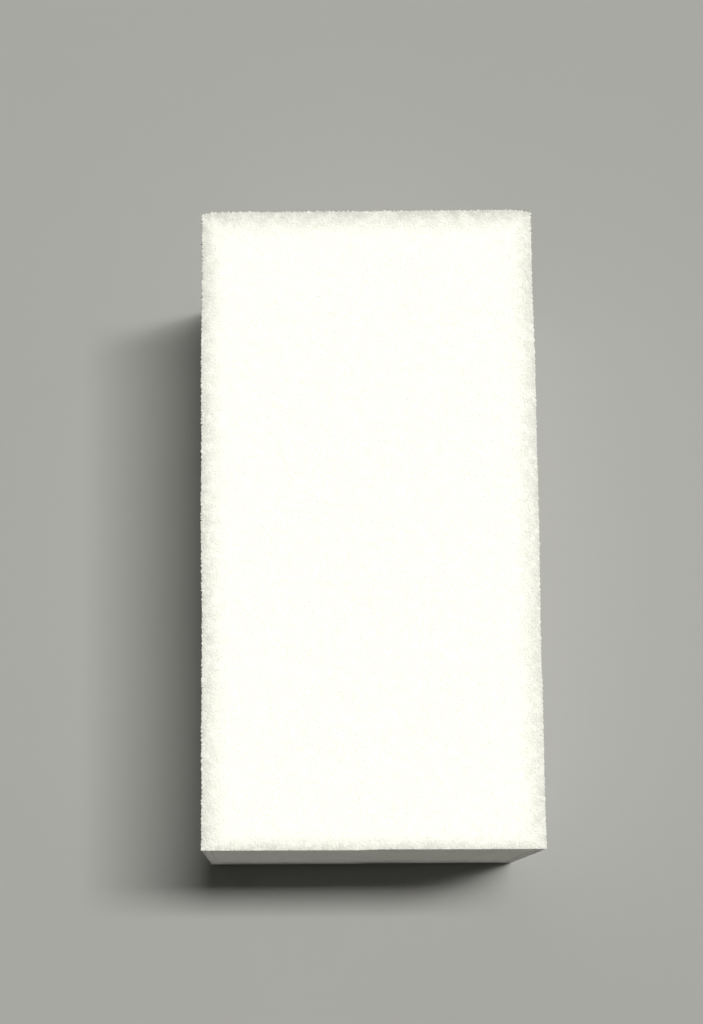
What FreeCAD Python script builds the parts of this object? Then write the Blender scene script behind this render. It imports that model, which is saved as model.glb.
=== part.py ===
"""Half-length nail buffer block: a foam core with an abrasive strip bonded to each long face.

Millimetres. +Y runs along the block from cut end to cut end, +Z is up, and the origin is the
centre of the bottom face. Each strip is three layers: an adhesive film against the foam, a
backing sheet, and a coat of grit outside. The side strips go on first, and the top and bottom
strips cover their edges.
"""

import FreeCAD
import Part
import os

LENGTH = 48.0
WIDTH = 25.0
HEIGHT = 27.5

ADHESIVE_THICKNESS = 0.10
BACKING_THICKNESS = 0.20
GRIT_THICKNESS = 0.30
EASED_EDGE = 0.20  # radius where the grit coat's outer face meets a free edge

STRIP_THICKNESS = ADHESIVE_THICKNESS + BACKING_THICKNESS + GRIT_THICKNESS
CORE_WIDTH = WIDTH - 2 * STRIP_THICKNESS
CORE_HEIGHT = HEIGHT - 2 * STRIP_THICKNESS

AXIS_HEIGHT = HEIGHT / 2
TOUCHING = 1e-6  # how close two coordinates are when they count as the same

# Each strip: its turn about the block's axis from the top, its width, how far the core's face is
# from the axis, and whether its long edges are free or butt against another strip.
STRIPS = {
    "top": (0, WIDTH, CORE_HEIGHT / 2, True),
    "right": (90, CORE_HEIGHT, CORE_WIDTH / 2, False),
    "bottom": (180, WIDTH, CORE_HEIGHT / 2, True),
    "left": (270, CORE_HEIGHT, CORE_WIDTH / 2, False),
}


def slab(width, length, height, base):
    """A box centred on the Z axis that stands on the plane z = base."""
    corner = FreeCAD.Vector(-width / 2, -length / 2, base)
    return Part.makeBox(width, length, height, corner)


def foam_core():
    """The bar of closed-cell foam that everything is bonded to."""
    return slab(CORE_WIDTH, LENGTH, CORE_HEIGHT, STRIP_THICKNESS)


def eased(coat, outer_face, long_edges_free):
    """The coat with its outer face's free edges rounded: the two cut ends, and the long edges if free."""
    free = []
    for edge in coat.Edges:
        ends = [vertex.Point for vertex in edge.Vertexes]
        on_outer_face = all(abs(point.z - outer_face) < TOUCHING for point in ends)
        runs_across = abs(ends[0].y - ends[1].y) < TOUCHING
        if on_outer_face and (runs_across or long_edges_free):
            free.append(edge)
    return coat.makeFillet(EASED_EDGE, free)


def strip_layers(width, core_face, long_edges_free):
    """One strip's layers as they lie on the top of the core, by name, measured from the block's axis."""
    backing_base = core_face + ADHESIVE_THICKNESS
    grit_base = backing_base + BACKING_THICKNESS
    coat = slab(width, LENGTH, GRIT_THICKNESS, grit_base)
    return {
        "adhesive_film": slab(width, LENGTH, ADHESIVE_THICKNESS, core_face),
        "backing_sheet": slab(width, LENGTH, BACKING_THICKNESS, backing_base),
        "grit_coat": eased(coat, grit_base + GRIT_THICKNESS, long_edges_free),
    }


def turned_onto_face(shape, turn):
    """A layer built on top, turned about the block's axis onto its own face and lifted to its height."""
    onto_face = FreeCAD.Rotation(FreeCAD.Vector(0, 1, 0), turn)
    shape.Placement = FreeCAD.Placement(FreeCAD.Vector(0, 0, AXIS_HEIGHT), onto_face)
    return shape


def block():
    """Every piece of the block by its node name."""
    pieces = {"foam_core": foam_core()}
    for side, (turn, width, core_face, long_edges_free) in STRIPS.items():
        for layer, shape in strip_layers(width, core_face, long_edges_free).items():
            pieces[f"{side}_{layer}"] = turned_onto_face(shape, turn)
    return pieces


os.makedirs("parts", exist_ok=True)
for name, shape in block().items():
    if not shape.isValid():
        raise ValueError(f"{name} is not a valid solid")
    shape.exportStep(f"parts/{name}.step")
    print(f"{name}: {shape.Volume:.1f} mm3")
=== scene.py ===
"""The looks of the nail buffer block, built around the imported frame.

Each long face's grit coat is a closed sheet with tens of thousands of angular grains on it. The
backing sheets and adhesive films are thin slabs with knife-cut, slightly wavy edges. The foam core
is a bar whose two cut ends are a mesh of cut-open cells. Every length is in metres.
"""

import math

import bpy
import numpy as np
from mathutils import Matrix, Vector, geometry


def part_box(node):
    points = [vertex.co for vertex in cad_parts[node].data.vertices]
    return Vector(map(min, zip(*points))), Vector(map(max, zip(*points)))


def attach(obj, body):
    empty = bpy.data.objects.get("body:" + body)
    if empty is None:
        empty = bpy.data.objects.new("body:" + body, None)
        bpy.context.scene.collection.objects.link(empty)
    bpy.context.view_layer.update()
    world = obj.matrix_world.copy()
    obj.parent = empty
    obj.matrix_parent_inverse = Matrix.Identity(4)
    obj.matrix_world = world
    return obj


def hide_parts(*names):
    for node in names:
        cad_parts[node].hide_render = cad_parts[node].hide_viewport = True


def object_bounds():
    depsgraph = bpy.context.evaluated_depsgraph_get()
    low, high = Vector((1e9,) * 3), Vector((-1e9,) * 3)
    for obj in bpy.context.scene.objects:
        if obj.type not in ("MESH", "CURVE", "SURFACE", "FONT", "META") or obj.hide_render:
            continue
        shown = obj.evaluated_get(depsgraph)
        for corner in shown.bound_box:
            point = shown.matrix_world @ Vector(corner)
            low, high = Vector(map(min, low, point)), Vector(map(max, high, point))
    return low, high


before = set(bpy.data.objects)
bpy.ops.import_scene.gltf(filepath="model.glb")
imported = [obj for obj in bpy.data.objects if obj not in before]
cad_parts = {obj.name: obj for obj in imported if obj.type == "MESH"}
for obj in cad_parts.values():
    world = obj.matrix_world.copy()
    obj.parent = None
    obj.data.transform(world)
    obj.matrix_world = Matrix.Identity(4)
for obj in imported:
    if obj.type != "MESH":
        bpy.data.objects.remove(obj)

CAD_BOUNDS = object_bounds()
MM = 0.001
LOW, HIGH = (np.array(corner) for corner in CAD_BOUNDS)
BAKE_UV = "OFBake"  # the UV map that colours are baked to

# Each long face: the direction that it looks in, and the seed of its random draws.
SIDES = {
    "top": ((0, 0, 1), 11),
    "right": ((1, 0, 0), 23),
    "bottom": ((0, 0, -1), 37),
    "left": ((-1, 0, 0), 41),
}
ALONG = np.array((0.0, 1.0, 0.0))  # from the near cut end to the far one
TOUCHING = 0.001 * MM  # places this near to each other, or to an outline, touch

# A strip's margins: how much painted shade each gets at the outline, from 0 to 1, and how far in it
# reaches.
# The painted shade stands in for light falling off towards the edges, and differs by side with how the
# light falls.
SHADED_MARGINS = {
    "left": (0.82, 2.15 * MM),
    "right": (0.70, 2.2 * MM),
    "far": (1.0, 2.3 * MM),
    "near": (0.85, 1.25 * MM),
}

# How a real block's cut differs from a perfect one.
WAVER = 0.03 * MM  # how far the long sides waver
WAVES = ((1.0, 5.3 * MM, 0.6), (0.6, 2.1 * MM, 2.0))  # each wave's share, length over 2 pi, and phase
NEAR_SHIFT, NEAR_TILT = 0.03 * MM, -0.075 * MM  # the near end's place along the block, and its tilt
FAR_SHIFT, FAR_TILT = 0.065 * MM, 0.09 * MM  # the same for the far end
STROKE_STEP = 0.05 * MM  # between the knife's two strokes at the near end
STROKE_REACH = 6 * MM  # how far along the block that step can be seen
STROKES_MEET = (-1.2 * MM, 0.6 * MM)  # across the block, where one stroke runs into the other
LEFT_CRUSH = (0.22 * MM, 1.1 * MM)  # how deep the far left corner is crushed, and over what width
RIGHT_CRUSH = (0.24 * MM, 1.6 * MM)
CRUSH_REACH = 2.5 * MM  # how far along the block the crushed corners reach


# ---------------------------------------------------------------- shapes

def faded(distance, reach):
    """1 at a distance of nothing, falling smoothly to 0 at reach."""
    return np.clip(1 - distance / reach, 0, 1) ** 2


def ramp(value, start, end):
    """0 before start, 1 after end, and smooth between them."""
    share = np.clip((value - start) / (end - start), 0, 1)
    return share * share * (3 - 2 * share)


def noise(seed, u, v, cell):
    """A random field from -1 to 1 that changes smoothly over about one cell, at each (u, v)."""
    side = 256
    lattice = np.random.default_rng(seed).uniform(-1, 1, (side, side))
    x, y = u / cell, v / cell
    i, j = np.floor(x).astype(int), np.floor(y).astype(int)
    s, t = (part * part * (3 - 2 * part) for part in (x - i, y - j))
    i, j, right, above = i % side, j % side, (i + 1) % side, (j + 1) % side
    lower = lattice[i, j] * (1 - s) + lattice[right, j] * s
    upper = lattice[i, above] * (1 - s) + lattice[right, above] * s
    return lower * (1 - t) + upper * t


def as_cut(points):
    """Moves a perfect block's points to where a real one's lie: its sides waver a little, its ends are
    slightly askew, its far corners are crushed, and the near end was cut in two strokes that meet in
    the middle."""
    x, y, z = points.T
    side = x / HIGH[0]
    waver = WAVER * sum(share * np.sin(y / length + phase) for share, length, phase in WAVES)
    left_corner = LEFT_CRUSH[0] * faded(x - LOW[0], LEFT_CRUSH[1])
    right_corner = RIGHT_CRUSH[0] * faded(HIGH[0] - x, RIGHT_CRUSH[1])
    crushed = faded(HIGH[1] - y, CRUSH_REACH) * (left_corner + right_corner)
    stroke = STROKE_STEP * (ramp(x, *STROKES_MEET) - 0.5)
    near_askew = NEAR_SHIFT + NEAR_TILT * side + stroke * faded(y - LOW[1], STROKE_REACH)
    far_askew = FAR_SHIFT + FAR_TILT * side
    along = (y - LOW[1]) / (HIGH[1] - LOW[1])
    shift_y = near_askew * (1 - along) + far_askew * along - crushed
    return np.stack([x + waver * side, y + shift_y, z], axis=1)


class Patch:
    """A mesh in the making: vertices, triangles, a place in the bake's UV map for each triangle corner,
    and two values per vertex. tone is how light it is, with painted shade in the grit's valleys and the
    foam's pits, and inside is what Face.inside gives, 0 where the margins' painted shade is darkest."""

    def __init__(self, vertices, triangles, uv, tone, inside=1.0, smooth=True):
        self.vertices = np.asarray(vertices, float)
        self.triangles = np.asarray(triangles, int)
        self.uv = np.asarray(uv, float)
        self.tone = np.broadcast_to(tone, len(self.vertices))
        self.inside = np.broadcast_to(inside, len(self.vertices))
        self.smooth = np.full(len(self.triangles), smooth)


def fitted(places, low, high):
    """Flat places, from 0 to 1 each way, squeezed into one rectangle of the UV map."""
    low, high = np.array(low), np.array(high)
    return low + np.clip(places, 0, 1) * (high - low)


def made(name, patch, material, slot, *nodes):
    """The piece: a mesh object that rides on the block and stands for those CAD nodes."""
    mesh = bpy.data.meshes.new(name)
    count = len(patch.triangles)
    mesh.vertices.add(len(patch.vertices))
    mesh.vertices.foreach_set("co", as_cut(patch.vertices).astype(np.float32).ravel())
    mesh.loops.add(3 * count)
    mesh.loops.foreach_set("vertex_index", patch.triangles.astype(np.int32).ravel())
    mesh.polygons.add(count)
    mesh.polygons.foreach_set("loop_start", np.arange(0, 3 * count, 3, dtype=np.int32))
    mesh.polygons.foreach_set("use_smooth", patch.smooth)
    mesh.update(calc_edges=True)
    for values in ("tone", "inside"):
        attribute = mesh.attributes.new(values, "FLOAT", "POINT")
        attribute.data.foreach_set("value", getattr(patch, values).astype(np.float32))
    layer = mesh.uv_layers.new(name=BAKE_UV)
    layer.data.foreach_set("uv", patch.uv.astype(np.float32).ravel())
    mesh.materials.append(material)
    piece = bpy.data.objects.new(name, mesh)
    bpy.context.scene.collection.objects.link(piece)
    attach(piece, "root")
    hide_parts(*nodes)
    return piece


class Face:
    """The place of one layer of a strip: u runs across it, v along the block and n outwards, from the
    centre of the layer's inner face."""

    def __init__(self, side, node):
        low, high = (np.array(corner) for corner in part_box(node))
        self.out = np.array(SIDES[side][0], float)
        self.across = np.cross(ALONG, self.out)
        size = high - low
        self.width = float(abs(self.across) @ size)
        self.length = float(size[1])
        self.thickness = float(abs(self.out) @ size)
        self.centre = (low + high) / 2 - self.out * self.thickness / 2

    def place(self, u, v, n):
        """Points of the row frame from places on the face."""
        steps = (u[:, None] * self.across, v[:, None] * ALONG, n[:, None] * self.out)
        return self.centre + steps[0] + steps[1] + steps[2]

    def share(self, u, v):
        """Places on the face, from 0 to 1 each way."""
        return np.stack([u / self.width + 0.5, v / self.length + 0.5], axis=-1)

    def inside(self, u, v):
        """0 where a margin's painted shade is darkest, and 1 beyond the margins."""
        distances = {
            "left": self.width / 2 + u,
            "right": self.width / 2 - u,
            "far": self.length / 2 - v,
            "near": self.length / 2 + v,
        }
        greys = [grey * faded(distances[name], reach) for name, (grey, reach) in SHADED_MARGINS.items()]
        return 1 - np.max(greys, axis=0)


def outline(triangles):
    """The edges with a triangle on one side only, as where each starts and where it ends."""
    start, end = triangles.ravel(), triangles[:, [1, 2, 0]].ravel()
    size = triangles.max() + 1
    alone = ~np.isin(start * size + end, end * size + start)
    return start[alone], end[alone]


def closed_sheet(face, u, v, height, tone, triangles):
    """A closed sheet: a top of triangles between places on the face, a rim round it and a flat
    underside. In the UV map, the rim has a strip below the top, and the underside one beside it."""
    start, end = outline(triangles)
    lower = np.zeros(len(u), int)
    lower[start] = len(u) + np.arange(len(start))
    hub = len(u) + len(start)
    rim = np.concatenate([
        np.stack([lower[start], lower[end], end], 1),
        np.stack([lower[start], end, start], 1),
    ])
    under = np.stack([np.full(len(start), hub), lower[end], lower[start]], 1)

    share = face.share(u, v)
    lower_share = np.concatenate([share, share[start], [[0.5, 0.5]]])
    along = share[start].sum(1)
    reach = along + abs(share[end] - share[start]).sum(1)
    corners = ((along, 0), (reach, 0), (reach, 1)), ((along, 0), (reach, 1), (along, 1))
    rim_uv = np.concatenate([
        np.stack([np.stack([place / 2, np.full(len(start), edge)], 1) for place, edge in corner], 1)
        for corner in corners
    ])
    edge_u, edge_v = (np.append(places[start], 0.0) for places in (u, v))
    return Patch(
        np.concatenate([face.place(u, v, height), face.place(edge_u, edge_v, np.zeros(len(edge_u)))]),
        np.concatenate([triangles, rim, under]),
        np.concatenate([
            fitted(share[triangles], (0.0, 0.04), (0.94, 1.0)),
            fitted(rim_uv, (0.0, 0.0), (1.0, 0.03)),
            fitted(lower_share[under], (0.95, 0.04), (1.0, 1.0)),
        ]),
        tone=np.append(tone, np.full(len(edge_u), 0.5)),
        # The underside's vertices take the margins' darkest painted shade, so the rim darkens downwards.
        inside=np.append(face.inside(u, v), np.zeros(len(edge_u))),
        smooth=False,
    )


# ---------------------------------------------------------------- cells

def scattered(rng, size, spacing, stray):
    """Random places in a rectangle of that size about (0, 0): from rows and columns one spacing apart,
    each place strays up to that many spacings each way."""
    counts = np.array([round(side / spacing) for side in size])
    grid = np.stack(np.meshgrid(*(np.arange(count) + 0.5 for count in counts)), -1).reshape(-1, 2)
    strayed = grid + rng.uniform(-stray, stray, grid.shape)
    return np.clip(strayed / counts, 0.1 / counts, 1 - 0.1 / counts) * size - size / 2


def with_mirrored(places, size):
    """The places, and after them the mirror images of those near each side of the rectangle, so that
    the cells end at its sides."""
    near = 2 * MM
    for axis in (0, 1):
        for sign in (-1, 1):
            close = places[sign * places[:, axis] > size[axis] / 2 - near]
            mirrored = close.copy()
            mirrored[:, axis] = sign * size[axis] - close[:, axis]
            places = np.concatenate([places, mirrored])
    return places


def circle_centres(points, triangles):
    """For each triangle, the place that is equally far from its three corners."""
    a, b, c = (points[triangles[:, k]] for k in range(3))
    ab, ac = b - a, c - a
    twice = 2 * (ab[:, 0] * ac[:, 1] - ab[:, 1] * ac[:, 0])
    ab2, ac2 = (ab ** 2).sum(1), (ac ** 2).sum(1)
    return a + np.stack([
        (ac[:, 1] * ab2 - ab[:, 1] * ac2) / twice,
        (ab[:, 0] * ac2 - ac[:, 0] * ab2) / twice,
    ], axis=1)


class Cells:
    """A rectangle shared out among places in it, each cell being what is nearer to its place than to any
    other. rims are the cells' corners, hubs their middles and radii their mean radii. In each triangle,
    the first two vertices are corners and the third, numbered after all the corners, is the hub."""

    def __init__(self, places, size):
        everything = with_mirrored(places, size)
        cut = geometry.delaunay_2d_cdt([Vector(p) for p in everything / MM], [], [], 0, 1e-7)
        triangles = np.array(cut[2])
        centres = circle_centres(everything, triangles)

        # A cell's corners are the centres of the triangles about its place, in order of their angle.
        cell = triangles.ravel()
        corner = np.repeat(np.arange(len(triangles)), 3)
        angle = np.arctan2(*(centres[corner] - everything[cell]).T[::-1])
        order = np.lexsort([angle, cell])
        order = order[cell[order] < len(places)]
        cell, corner = cell[order], corner[order]
        first = np.flatnonzero(np.diff(cell, prepend=-1))
        following = np.arange(len(cell)) + 1
        following[np.append(first[1:], len(cell)) - 1] = first

        # Corners that touch become one.
        snapped = np.round(np.clip(centres[corner], -size / 2, size / 2) / TOUCHING).astype(int)
        rims, corner = np.unique(snapped, axis=0, return_inverse=True)
        corner = corner.ravel()
        self.rims = rims * TOUCHING
        corners_each = np.bincount(cell)
        middle = [np.bincount(cell, self.rims[corner, k]) / corners_each for k in (0, 1)]
        self.hubs = np.stack(middle, axis=1)
        away = np.hypot(*(self.rims[corner] - self.hubs[cell]).T)
        self.radii = np.bincount(cell, away) / corners_each
        fans = np.stack([corner, corner[following], len(rims) + cell], 1)
        self.triangles = fans[fans[:, 0] != fans[:, 1]]

    def halve_outline(self, size):
        """Adds a corner halfway along each side that a cell has on the rectangle's outline, after the
        other corners."""
        ends = self.rims[self.triangles[:, :2]]
        on_line = abs(abs(ends) - size / 2) < TOUCHING
        halved = on_line.all(axis=1).any(axis=1)
        middles = np.arange(halved.sum()) + len(self.rims)
        self.rims = np.concatenate([self.rims, ends[halved].mean(axis=1)])
        self.triangles[:, 2] += len(middles)
        start, end, hub = self.triangles[halved].T
        self.triangles = np.concatenate([
            self.triangles[~halved],
            np.stack([start, middles, hub], 1),
            np.stack([middles, end, hub], 1),
        ])


# ---------------------------------------------------------------- grit

GRAIN_SPACING = 0.22 * MM
GRAIN_STAND = 0.065 * MM  # how far the tallest grains stand above the resin
RESIN_DEPTH = 0.09 * MM  # how far below the coat's full thickness the resin lies
RESIN_WAVE = 0.02 * MM  # how far its level wanders
ROLL_OFF = (0.06 * MM, 0.8 * MM)  # how far it falls off at the rough edges, and over what width
CLEAN = 0.8 * MM  # from the cut near end, the way in which the beads reach their full size

# How far the grains stand out of the coats' rough edges, or back: along the top and bottom coats' long
# sides, at their far ends, and at the far ends of the other two.
LONG_BEAD, FAR_BEAD, SLIGHT_BEAD = 0.075 * MM, 0.10 * MM, 0.05 * MM


def grit_coat(side, material):
    """One strip's coat: resin packed with grains, which bead the outline, except at the cut near end."""
    node = f"{side}_grit_coat"
    seed = SIDES[side][1]
    rng = np.random.default_rng(seed)
    face = Face(side, node)
    size = np.array([face.width, face.length])
    cells = Cells(scattered(rng, size, GRAIN_SPACING, stray=0.8), size)
    corners = len(cells.rims)
    cells.halve_outline(size)
    valleys, grains = len(cells.rims), len(cells.hubs)

    peaks = cells.hubs + rng.uniform(-0.15, 0.15, (grains, 2)) * GRAIN_SPACING
    u, v = np.concatenate([cells.rims, peaks]).T
    from_rough_edge = np.minimum(face.width / 2 - abs(u), face.length / 2 - v)
    rolled_off = ROLL_OFF[0] * faded(from_rough_edge, ROLL_OFF[1])
    resin = face.thickness - RESIN_DEPTH + RESIN_WAVE * noise(seed, u, v, 0.7 * MM) - rolled_off
    stand = np.append(rng.uniform(0, 0.2, valleys), rng.uniform(0.15, 1.0, grains)) * GRAIN_STAND
    # The low places between grains are given darker tones: painted shade between the grains. Each grain's
    # own tone differs at random.
    tone = np.append(rng.uniform(0, 0.5, valleys), 0.2 + 0.8 * rng.uniform(0, 1, grains) ** 1.5)
    tone = np.clip(tone + 0.4 * noise(seed + 1, u, v, 0.4 * MM), 0, 1)

    on_side = abs(abs(u) - face.width / 2) < TOUCHING
    on_far_end = v > face.length / 2 - TOUCHING
    # Two grains meet at a corner, which goes in, and each bulges out in the middle of its side.
    bead = rng.uniform(0, 1, len(u)) * np.where(np.arange(len(u)) < corners, -1, 1)
    bead = bead * ramp(face.length / 2 + v, 0, CLEAN)
    far_bead = SLIGHT_BEAD
    if side in ("top", "bottom"):
        far_bead = FAR_BEAD
        u = u + np.where(on_side & ~on_far_end, np.sign(u) * LONG_BEAD * bead, 0)
    v = v + np.where(on_far_end & ~on_side, far_bead * bead, 0)
    coat = closed_sheet(face, u, v, resin + stand, tone, cells.triangles)
    made(f"{side}_grit", coat, material, "grit", node)


# ---------------------------------------------------------------- backing sheets and adhesive films

SHEET_STEP = 0.8 * MM  # between the vertices of a thin sheet


def thin_sheet(side, layer, name, raggedness, material, slot):
    """A backing sheet or an adhesive film: a flat sheet whose cut edges waver by raggedness."""
    node = f"{side}_{layer}"
    face = Face(side, node)
    seed = SIDES[side][1] + len(layer)
    columns, rows = (round(size / SHEET_STEP) for size in (face.width, face.length))
    i, j = (a.ravel() for a in np.meshgrid(np.arange(columns + 1), np.arange(rows + 1)))
    u = (i / columns - 0.5) * face.width
    v = (j / rows - 0.5) * face.length
    waver = raggedness * (1 + noise(seed, u + v, u - v, 0.5 * MM))
    u = u + waver * ((i == 0).astype(int) - (i == columns))
    v = v + waver * ((j == 0).astype(int) - (j == rows))
    a = (np.arange(rows)[:, None] * (columns + 1) + np.arange(columns)).ravel()
    b, c, d = a + 1, a + columns + 2, a + columns + 1
    triangles = np.concatenate([np.stack([a, b, c], 1), np.stack([a, c, d], 1)])
    height, tone = np.full(len(u), face.thickness), np.full(len(u), 0.5)
    made(name, closed_sheet(face, u, v, height, tone, triangles), material, slot, node)


# ---------------------------------------------------------------- foam

CELL_SPACING = 0.34 * MM
PORES = 100  # cells on each cut end that are larger and deeper than the rest
PORE_RADIUS = 0.40 * MM
DISH = (0.05 * MM, 1.6 * MM)  # how far a cut end's middle is sunk, and from how far in
UNEVEN = 0.01 * MM  # how far a cut end's level wanders; it is set back from the strips by 2.5 times that


def foam_places(rng, size):
    """The middles of the foam's cells on a cut end, and which of them are pores, with room round them."""
    places = scattered(rng, size, CELL_SPACING, stray=0.5)
    kept, pore = np.ones(len(places), bool), np.zeros(len(places), bool)
    well_inside = np.flatnonzero((size / 2 - abs(places)).min(1) > 2 * PORE_RADIUS)
    for k in rng.choice(well_inside, PORES, replace=False):
        room = PORE_RADIUS * rng.uniform(0.8, 1.3)
        kept[np.hypot(*(places - places[k]).T) < room] = False
        pore[k] = True
    kept |= pore
    return places[kept], pore[kept]


def foam_core(material):
    """The foam bar: two cut ends of cut-open cells, joined by plain sides that the strips cover."""
    low, high = (np.array(corner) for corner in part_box("foam_core"))
    middle = (low + high) / 2
    size = (high - low)[[0, 2]]
    rng = np.random.default_rng(5)
    places, pore = foam_places(rng, size)
    cells = Cells(places, size)
    walls, pits = len(cells.rims), len(cells.hubs)
    flat = np.concatenate([cells.rims, cells.hubs])
    deepness = np.where(pore, rng.uniform(0.7, 1.0, pits), 0.7 * rng.uniform(0, 1, pits) ** 2)
    depth = cells.radii * (0.15 + 0.7 * deepness)
    # Deeper pits get darker tones: painted shade in the pits.
    tone = np.append(np.ones(walls), 0.9 - 0.7 * deepness)
    dish = [1 - faded(size[k] / 2 - abs(flat[:, k]), DISH[1]) for k in (0, 1)]
    sunk = np.append(np.zeros(walls), depth)
    sunk = sunk + DISH[0] * dish[0] * dish[1] + UNEVEN * (2.5 + noise(6, *flat.T, 2.5 * MM))

    count = len(flat)
    near = np.stack([middle[0] + flat[:, 0], low[1] + sunk, middle[2] + flat[:, 1]], 1)
    far = np.stack([middle[0] + flat[:, 0], high[1] - sunk, middle[2] + flat[:, 1]], 1)
    start, end = outline(cells.triangles)
    sides = np.concatenate([
        np.stack([start, start + count, end + count], 1),
        np.stack([start, end + count, end], 1),
    ])
    share = flat / size + 0.5
    along = np.stack([share.sum(1) / 2, np.zeros(count)], 1)
    patch = Patch(
        np.concatenate([near, far]),
        np.concatenate([cells.triangles, cells.triangles[:, ::-1] + count, sides]),
        np.concatenate([
            fitted(share[cells.triangles], (0.0, 0.08), (0.49, 1.0)),
            fitted(share[cells.triangles[:, ::-1]], (0.51, 0.08), (1.0, 1.0)),
            fitted(np.concatenate([along, along + (0, 1)])[sides], (0.0, 0.0), (1.0, 0.06)),
        ]),
        tone=np.tile(tone, 2),
    )
    patch.smooth[-len(sides):] = False
    piece = made("foam_bar", patch, material, "foam", "foam_core")


# ---------------------------------------------------------------- materials

class Shader:
    """A material's nodes, wired by short calls. Every texture is placed by the block's own coordinates."""

    def __init__(self, name, roughness=0.8, specular=0.4):
        self.material = bpy.data.materials.new(name)
        self.material.use_nodes = True
        self.tree = self.material.node_tree
        self.surface = next(n for n in self.tree.nodes if n.type == "BSDF_PRINCIPLED")
        self.surface.inputs["Roughness"].default_value = roughness
        self.surface.inputs["Specular IOR Level"].default_value = specular
        self.place = self.tree.nodes.new("ShaderNodeTexCoord").outputs["Object"]

    def link(self, value, socket):
        """Gives a socket a number, or what comes out of another node."""
        if isinstance(value, (int, float)):
            socket.default_value = value
        else:
            self.tree.links.new(value, socket)

    def noise(self, size, detail=2.0, stretch=None):
        """A noise whose features are about that size."""
        node = self.tree.nodes.new("ShaderNodeTexNoise")
        node.inputs["Scale"].default_value = 1 / size
        node.inputs["Detail"].default_value = detail
        place = self.place
        if stretch:
            mapping = self.tree.nodes.new("ShaderNodeMapping")
            mapping.inputs["Scale"].default_value = stretch
            self.link(place, mapping.inputs["Vector"])
            place = mapping.outputs["Vector"]
        self.link(place, node.inputs["Vector"])
        return node.outputs["Fac"]

    def value(self, name):
        """One of the values that the mesh carries."""
        node = self.tree.nodes.new("ShaderNodeAttribute")
        node.attribute_name = name
        return node.outputs["Fac"]

    def spread(self, value, low, high, to_low, to_high):
        """value, from low to high, moved to a range from to_low to to_high."""
        node = self.tree.nodes.new("ShaderNodeMapRange")
        ends = {"From Min": low, "From Max": high, "To Min": to_low, "To Max": to_high}
        for socket, end in ends.items():
            self.link(end, node.inputs[socket])
        self.link(value, node.inputs["Value"])
        return node.outputs["Result"]

    def product(self, first, second):
        """The two values multiplied."""
        node = self.tree.nodes.new("ShaderNodeMath")
        node.operation = "MULTIPLY"
        self.link(first, node.inputs[0])
        self.link(second, node.inputs[1])
        return node.outputs["Value"]

    def colour(self, value, low, high):
        """The base colour: from low to high as value goes from 0 to 1."""
        node = self.tree.nodes.new("ShaderNodeValToRGB")
        node.color_ramp.elements[0].color = (*low, 1)
        node.color_ramp.elements[1].color = (*high, 1)
        self.link(value, node.inputs["Fac"])
        self.link(node.outputs["Color"], self.surface.inputs["Base Color"])

    def roughness(self, value, low, high):
        """The roughness: from low to high as value goes from 0 to 1."""
        self.link(self.spread(value, 0, 1, low, high), self.surface.inputs["Roughness"])

    def bump(self, value, depth, strength):
        """Unevenness that is too fine for the mesh, depth high where value is 1."""
        node = self.tree.nodes.new("ShaderNodeBump")
        node.inputs["Distance"].default_value = depth
        node.inputs["Strength"].default_value = strength
        self.link(value, node.inputs["Height"])
        self.link(node.outputs["Normal"], self.surface.inputs["Normal"])


def grit_material():
    """White grains in a clear resin: each grain its own shade. Towards a strip's outline the colour is
    darkened, painted shade, and the grains' tones spread further apart, painted shading too."""
    shader = Shader("white_grit", specular=0.4)
    inside = shader.value("inside")
    # Near the outline the tones spread further apart and the colour is darkened: painted shade at the
    # margins.
    tone = shader.spread(shader.value("tone"), 0, 1, shader.spread(inside, 0, 1, 0.0, 0.91), 1.0)
    fine = shader.spread(shader.noise(0.12 * MM), 0.3, 0.7, 0.95, 1.0)
    light = shader.product(shader.product(tone, fine), shader.spread(inside, 0, 1, 0.5, 1.0))
    shader.colour(light, (0.55, 0.55, 0.505), (0.95, 0.95, 0.87))
    shader.roughness(shader.value("tone"), 0.75, 0.45)
    shader.bump(shader.noise(0.05 * MM, detail=3), 0.01 * MM, 0.4)
    return shader.material


def backing_material():
    """Latex-soaked paper: fibres along the block, off-white."""
    shader = Shader("backing_paper", specular=0.3)
    fibres = shader.noise(0.10 * MM, detail=4, stretch=(1, 0.25, 1))
    shader.colour(shader.spread(fibres, 0.3, 0.7, 0, 1), (0.67, 0.66, 0.62), (0.81, 0.80, 0.765))
    shader.roughness(fibres, 0.95, 0.75)
    return shader.material


def adhesive_material():
    """A dry acrylic film: smooth, slightly yellow."""
    shader = Shader("adhesive_acrylic", specular=0.5)
    streaks = shader.noise(0.4 * MM)
    shader.colour(shader.spread(streaks, 0.3, 0.7, 0, 1), (0.74, 0.73, 0.685), (0.81, 0.80, 0.755))
    shader.roughness(streaks, 0.4, 0.65)
    return shader.material


def foam_material():
    """Closed-cell foam: pale cell walls, cells that are darker the deeper they are, which is painted
    shade, and a film-like bump.
    """
    shader = Shader("foam_white", specular=0.3)
    mottle = shader.spread(shader.noise(2.5 * MM, detail=1), 0.3, 0.7, 0.97, 1.0)
    # The pits' lower tones give a darker colour: painted shade in the pits.
    light = shader.product(shader.spread(shader.value("tone"), 0, 1, 0.45, 1.0), mottle)
    # These colours are greyer than the foam's own white: partly painted shade, to darken the near end that
    # lies in shade.
    shader.colour(light, (0.60, 0.595, 0.54), (0.82, 0.81, 0.745))
    shader.roughness(shader.noise(0.3 * MM), 0.9, 0.7)
    shader.bump(shader.noise(0.06 * MM, detail=3), 0.008 * MM, 0.6)
    return shader.material


# ---------------------------------------------------------------- studio

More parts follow.
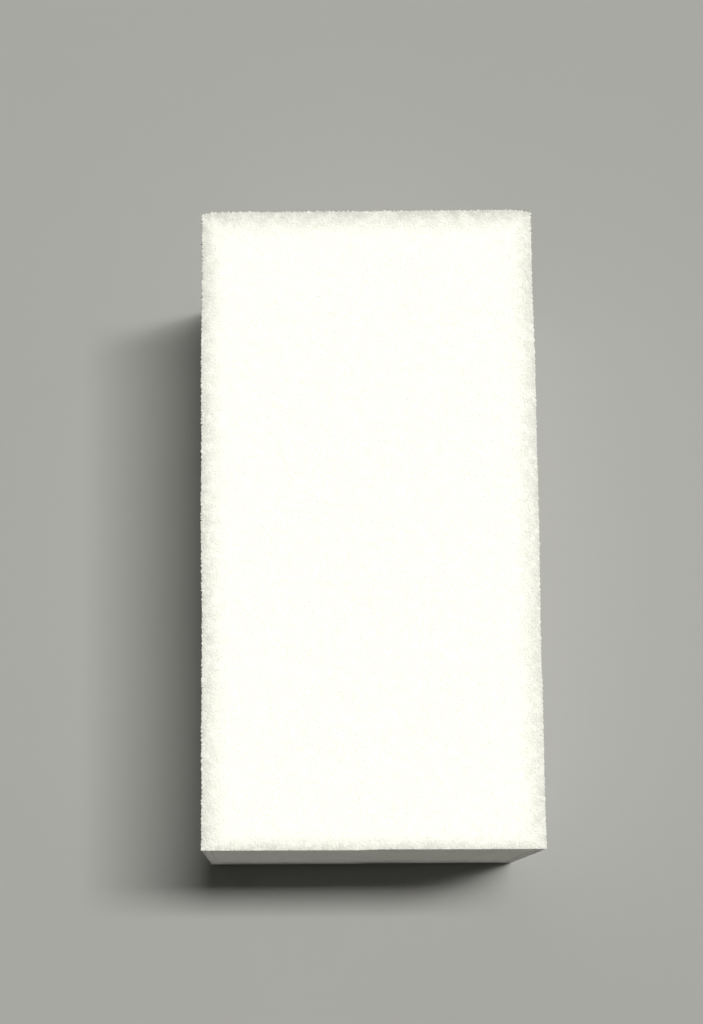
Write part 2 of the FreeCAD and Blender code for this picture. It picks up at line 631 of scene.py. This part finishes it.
def aimed(location, target):
    """The turn that points a light's -Z from location at target."""
    return (Vector(target) - Vector(location)).to_track_quat("-Z", "Y").to_euler()


def camera():
    """The photograph's view: from 18 cm above, nearly straight down, leaning in from the near end."""
    data = bpy.data.cameras.new("camera")
    data.lens = 85.5
    data.sensor_width = 36
    data.clip_start = 0.005
    view = bpy.data.objects.new("camera", data)
    view.location = (-0.00689, -0.03140, HIGH[2] + 0.17716)
    view.rotation_euler = (math.radians(10.33), math.radians(-1.67), math.radians(-0.59))
    bpy.context.scene.collection.objects.link(view)
    bpy.context.scene.camera = view


def light(name, location, size, watts, colour=(1, 1, 1), turn=None):
    """A soft box of that size, two ways, that looks at the middle of the block unless a turn is given."""
    data = bpy.data.lights.new(name, "AREA")
    data.shape = "RECTANGLE"
    data.size, data.size_y = size
    data.energy = watts
    data.color = colour
    lamp = bpy.data.objects.new(name, data)
    lamp.location = location
    lamp.rotation_euler = turn or aimed(location, (LOW + HIGH) / 2)
    bpy.context.scene.collection.objects.link(lamp)


def floor():
    """A plain pale floor under the block."""
    half = 4.0
    corners = [(-half, -half, 0), (half, -half, 0), (half, half, 0), (-half, half, 0)]
    mesh = bpy.data.meshes.new("floor")
    mesh.from_pydata(corners, [], [(0, 1, 2, 3)])
    shader = Shader("floor", roughness=0.9, specular=0.1)
    shader.surface.inputs["Base Color"].default_value = (0.327, 0.327, 0.317, 1)
    mesh.materials.append(shader.material)
    ground = bpy.data.objects.new("floor", mesh)
    bpy.context.scene.collection.objects.link(ground)


def studio():
    """A long panel high above, a little behind and to the right, low soft boxes at the right and behind
    at the left, which the near end doesn't see, and a surround that is pale at the horizon."""
    warm_white = (1.0, 0.995, 0.965)
    light("key", (2.40, 1.32, 12.0), size=(4.80, 1.18), watts=1750.0, colour=warm_white, turn=(0, 0, 0))
    light("right_fill", (1.10, 0.25, 0.10), size=(0.6, 0.16), watts=3.2)
    light("back_left_fill", (-0.85, 0.80, 0.10), size=(0.6, 0.16), watts=3.0)
    world = bpy.data.worlds.new("studio")
    world.use_nodes = True
    nodes, links = world.node_tree.nodes, world.node_tree.links
    place = nodes.new("ShaderNodeTexCoord")
    split = nodes.new("ShaderNodeSeparateXYZ")
    fall = nodes.new("ShaderNodeMapRange")
    for socket, number in (("From Min", 0.0), ("From Max", 0.5), ("To Min", 0.34), ("To Max", 0.03)):
        fall.inputs[socket].default_value = number
    links.new(place.outputs["Generated"], split.inputs["Vector"])
    links.new(split.outputs["Z"], fall.inputs["Value"])
    links.new(fall.outputs["Result"], nodes["Background"].inputs["Strength"])
    nodes["Background"].inputs["Color"].default_value = (1, 1, 0.97, 1)
    bpy.context.scene.world = world
    bpy.context.scene.view_settings.view_transform = "Standard"


camera()
floor()
studio()
grit, backing, adhesive = grit_material(), backing_material(), adhesive_material()
foam_core(foam_material())
for name in SIDES:
    thin_sheet(name, "adhesive_film", f"{name}_adhesive", 0.010 * MM, adhesive, "adhesive")
    thin_sheet(name, "backing_sheet", f"{name}_backing", 0.015 * MM, backing, "backing")
    grit_coat(name, grit)
